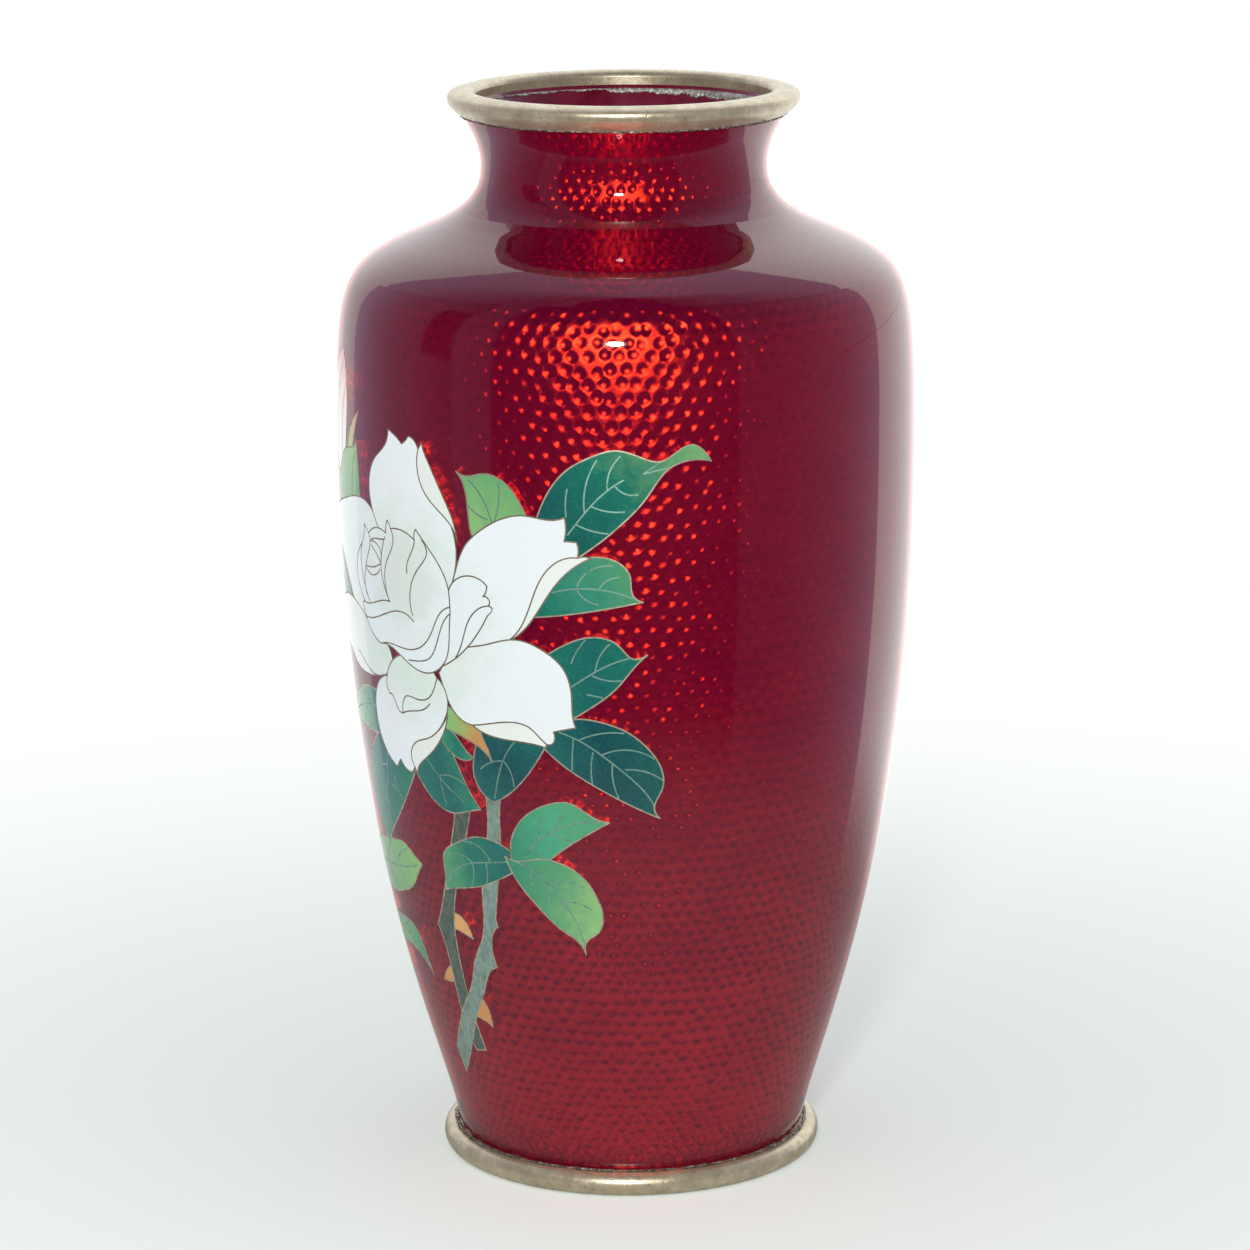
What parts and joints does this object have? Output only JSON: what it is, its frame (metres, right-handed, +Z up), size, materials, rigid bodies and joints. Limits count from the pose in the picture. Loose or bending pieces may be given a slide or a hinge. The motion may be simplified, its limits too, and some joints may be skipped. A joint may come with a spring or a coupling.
{
  "type": "cloisonne vase",
  "caption": "Shouldered cloisonne vase: copper body, dimpled silver foil under red enamel, wired rose spray, metal rim and foot rings.",
  "frame": {"origin": "centre of the foot ring's underside, on the table", "axes": "+Z up along the vase's axis; the middle of the rose spray faces -Y"},
  "size_m": [0.0986, 0.0986, 0.185],
  "materials": {
    "copper": "bare spun copper, satin, a little oxidised",
    "silver_foil": "hand-dimpled fine silver foil, bright",
    "red_enamel": "translucent crimson enamel, polished glass-smooth over foil",
    "lining_enamel": "dark red-purple counter-enamel, fire-polished, slightly uneven",
    "ring_metal": "nickel-silver plating, dulled and pitted with age",
    "solder": "rough tarnished solder",
    "white_enamel": "opaque white enamel with grey-green shading, polished",
    "teal_enamel": "mottled teal enamel, polished",
    "dark_teal_enamel": "mottled dark teal enamel, polished",
    "green_enamel": "mottled green enamel, polished",
    "light_green_enamel": "mottled light green enamel, polished",
    "ochre_enamel": "ochre enamel, polished",
    "stem_enamel": "grey-green enamel, polished",
    "dark_stem_enamel": "dark grey-green enamel, polished",
    "silver_wire": "flat silver wire set on edge, ground flush, satin"
  },
  "bodies": {
    "root": {"copper_body": "copper", "base_plate": "copper", "silver_foil": "silver_foil", "ground_enamel": "red_enamel", "lining_enamel": "lining_enamel", "base_enamel": "lining_enamel", "mouth_ring": "ring_metal", "foot_ring": "ring_metal", "mouth_solder": "solder", "foot_solder": "solder", "heart_petals": "white_enamel", "inner_petal_right": "white_enamel", "petal_bottom_curl": "white_enamel", "petal_bottom_edge": "white_enamel", "petal_bottom": "white_enamel", "petal_right_lower_edge": "white_enamel", "petal_right_lower": "white_enamel", "petal_right_upper_edge": "white_enamel", "petal_right_upper": "white_enamel", "petal_left_lower": "white_enamel", "petal_top_edge": "white_enamel", "petal_top": "white_enamel", "petal_left_upper": "white_enamel", "flower_sepal": "light_green_enamel", "bud_calyx": "green_enamel", "bud_sepal": "ochre_enamel", "bud_petals": "white_enamel", "leaf_small": "teal_enamel", "leaf_below_flower": "teal_enamel", "leaf_centre": "dark_teal_enamel", "leaf_right_middle": "teal_enamel", "leaf_right_low": "dark_teal_enamel", "leaf_right_high": "green_enamel", "leaf_curled": "teal_enamel", "leaf_light_top": "light_green_enamel", "leaf_pale_left": "teal_enamel", "leaf_left_middle": "green_enamel", "leaf_left_large": "teal_enamel", "leaf_left_light": "light_green_enamel", "leaf_left_foot": "light_green_enamel", "leaf_stem_right": "green_enamel", "leaf_stem_top": "green_enamel", "leaf_stem_left": "teal_enamel", "main_stem": "stem_enamel", "rear_stem": "dark_stem_enamel", "side_stem": "stem_enamel", "thorns": "ochre_enamel", "petal_wires": "silver_wire", "heart_wires": "silver_wire", "leaf_outline_wires": "silver_wire", "leaf_vein_wires": "silver_wire", "stem_wires": "silver_wire", "bud_wires": "silver_wire"}
  },
  "joints": []
}
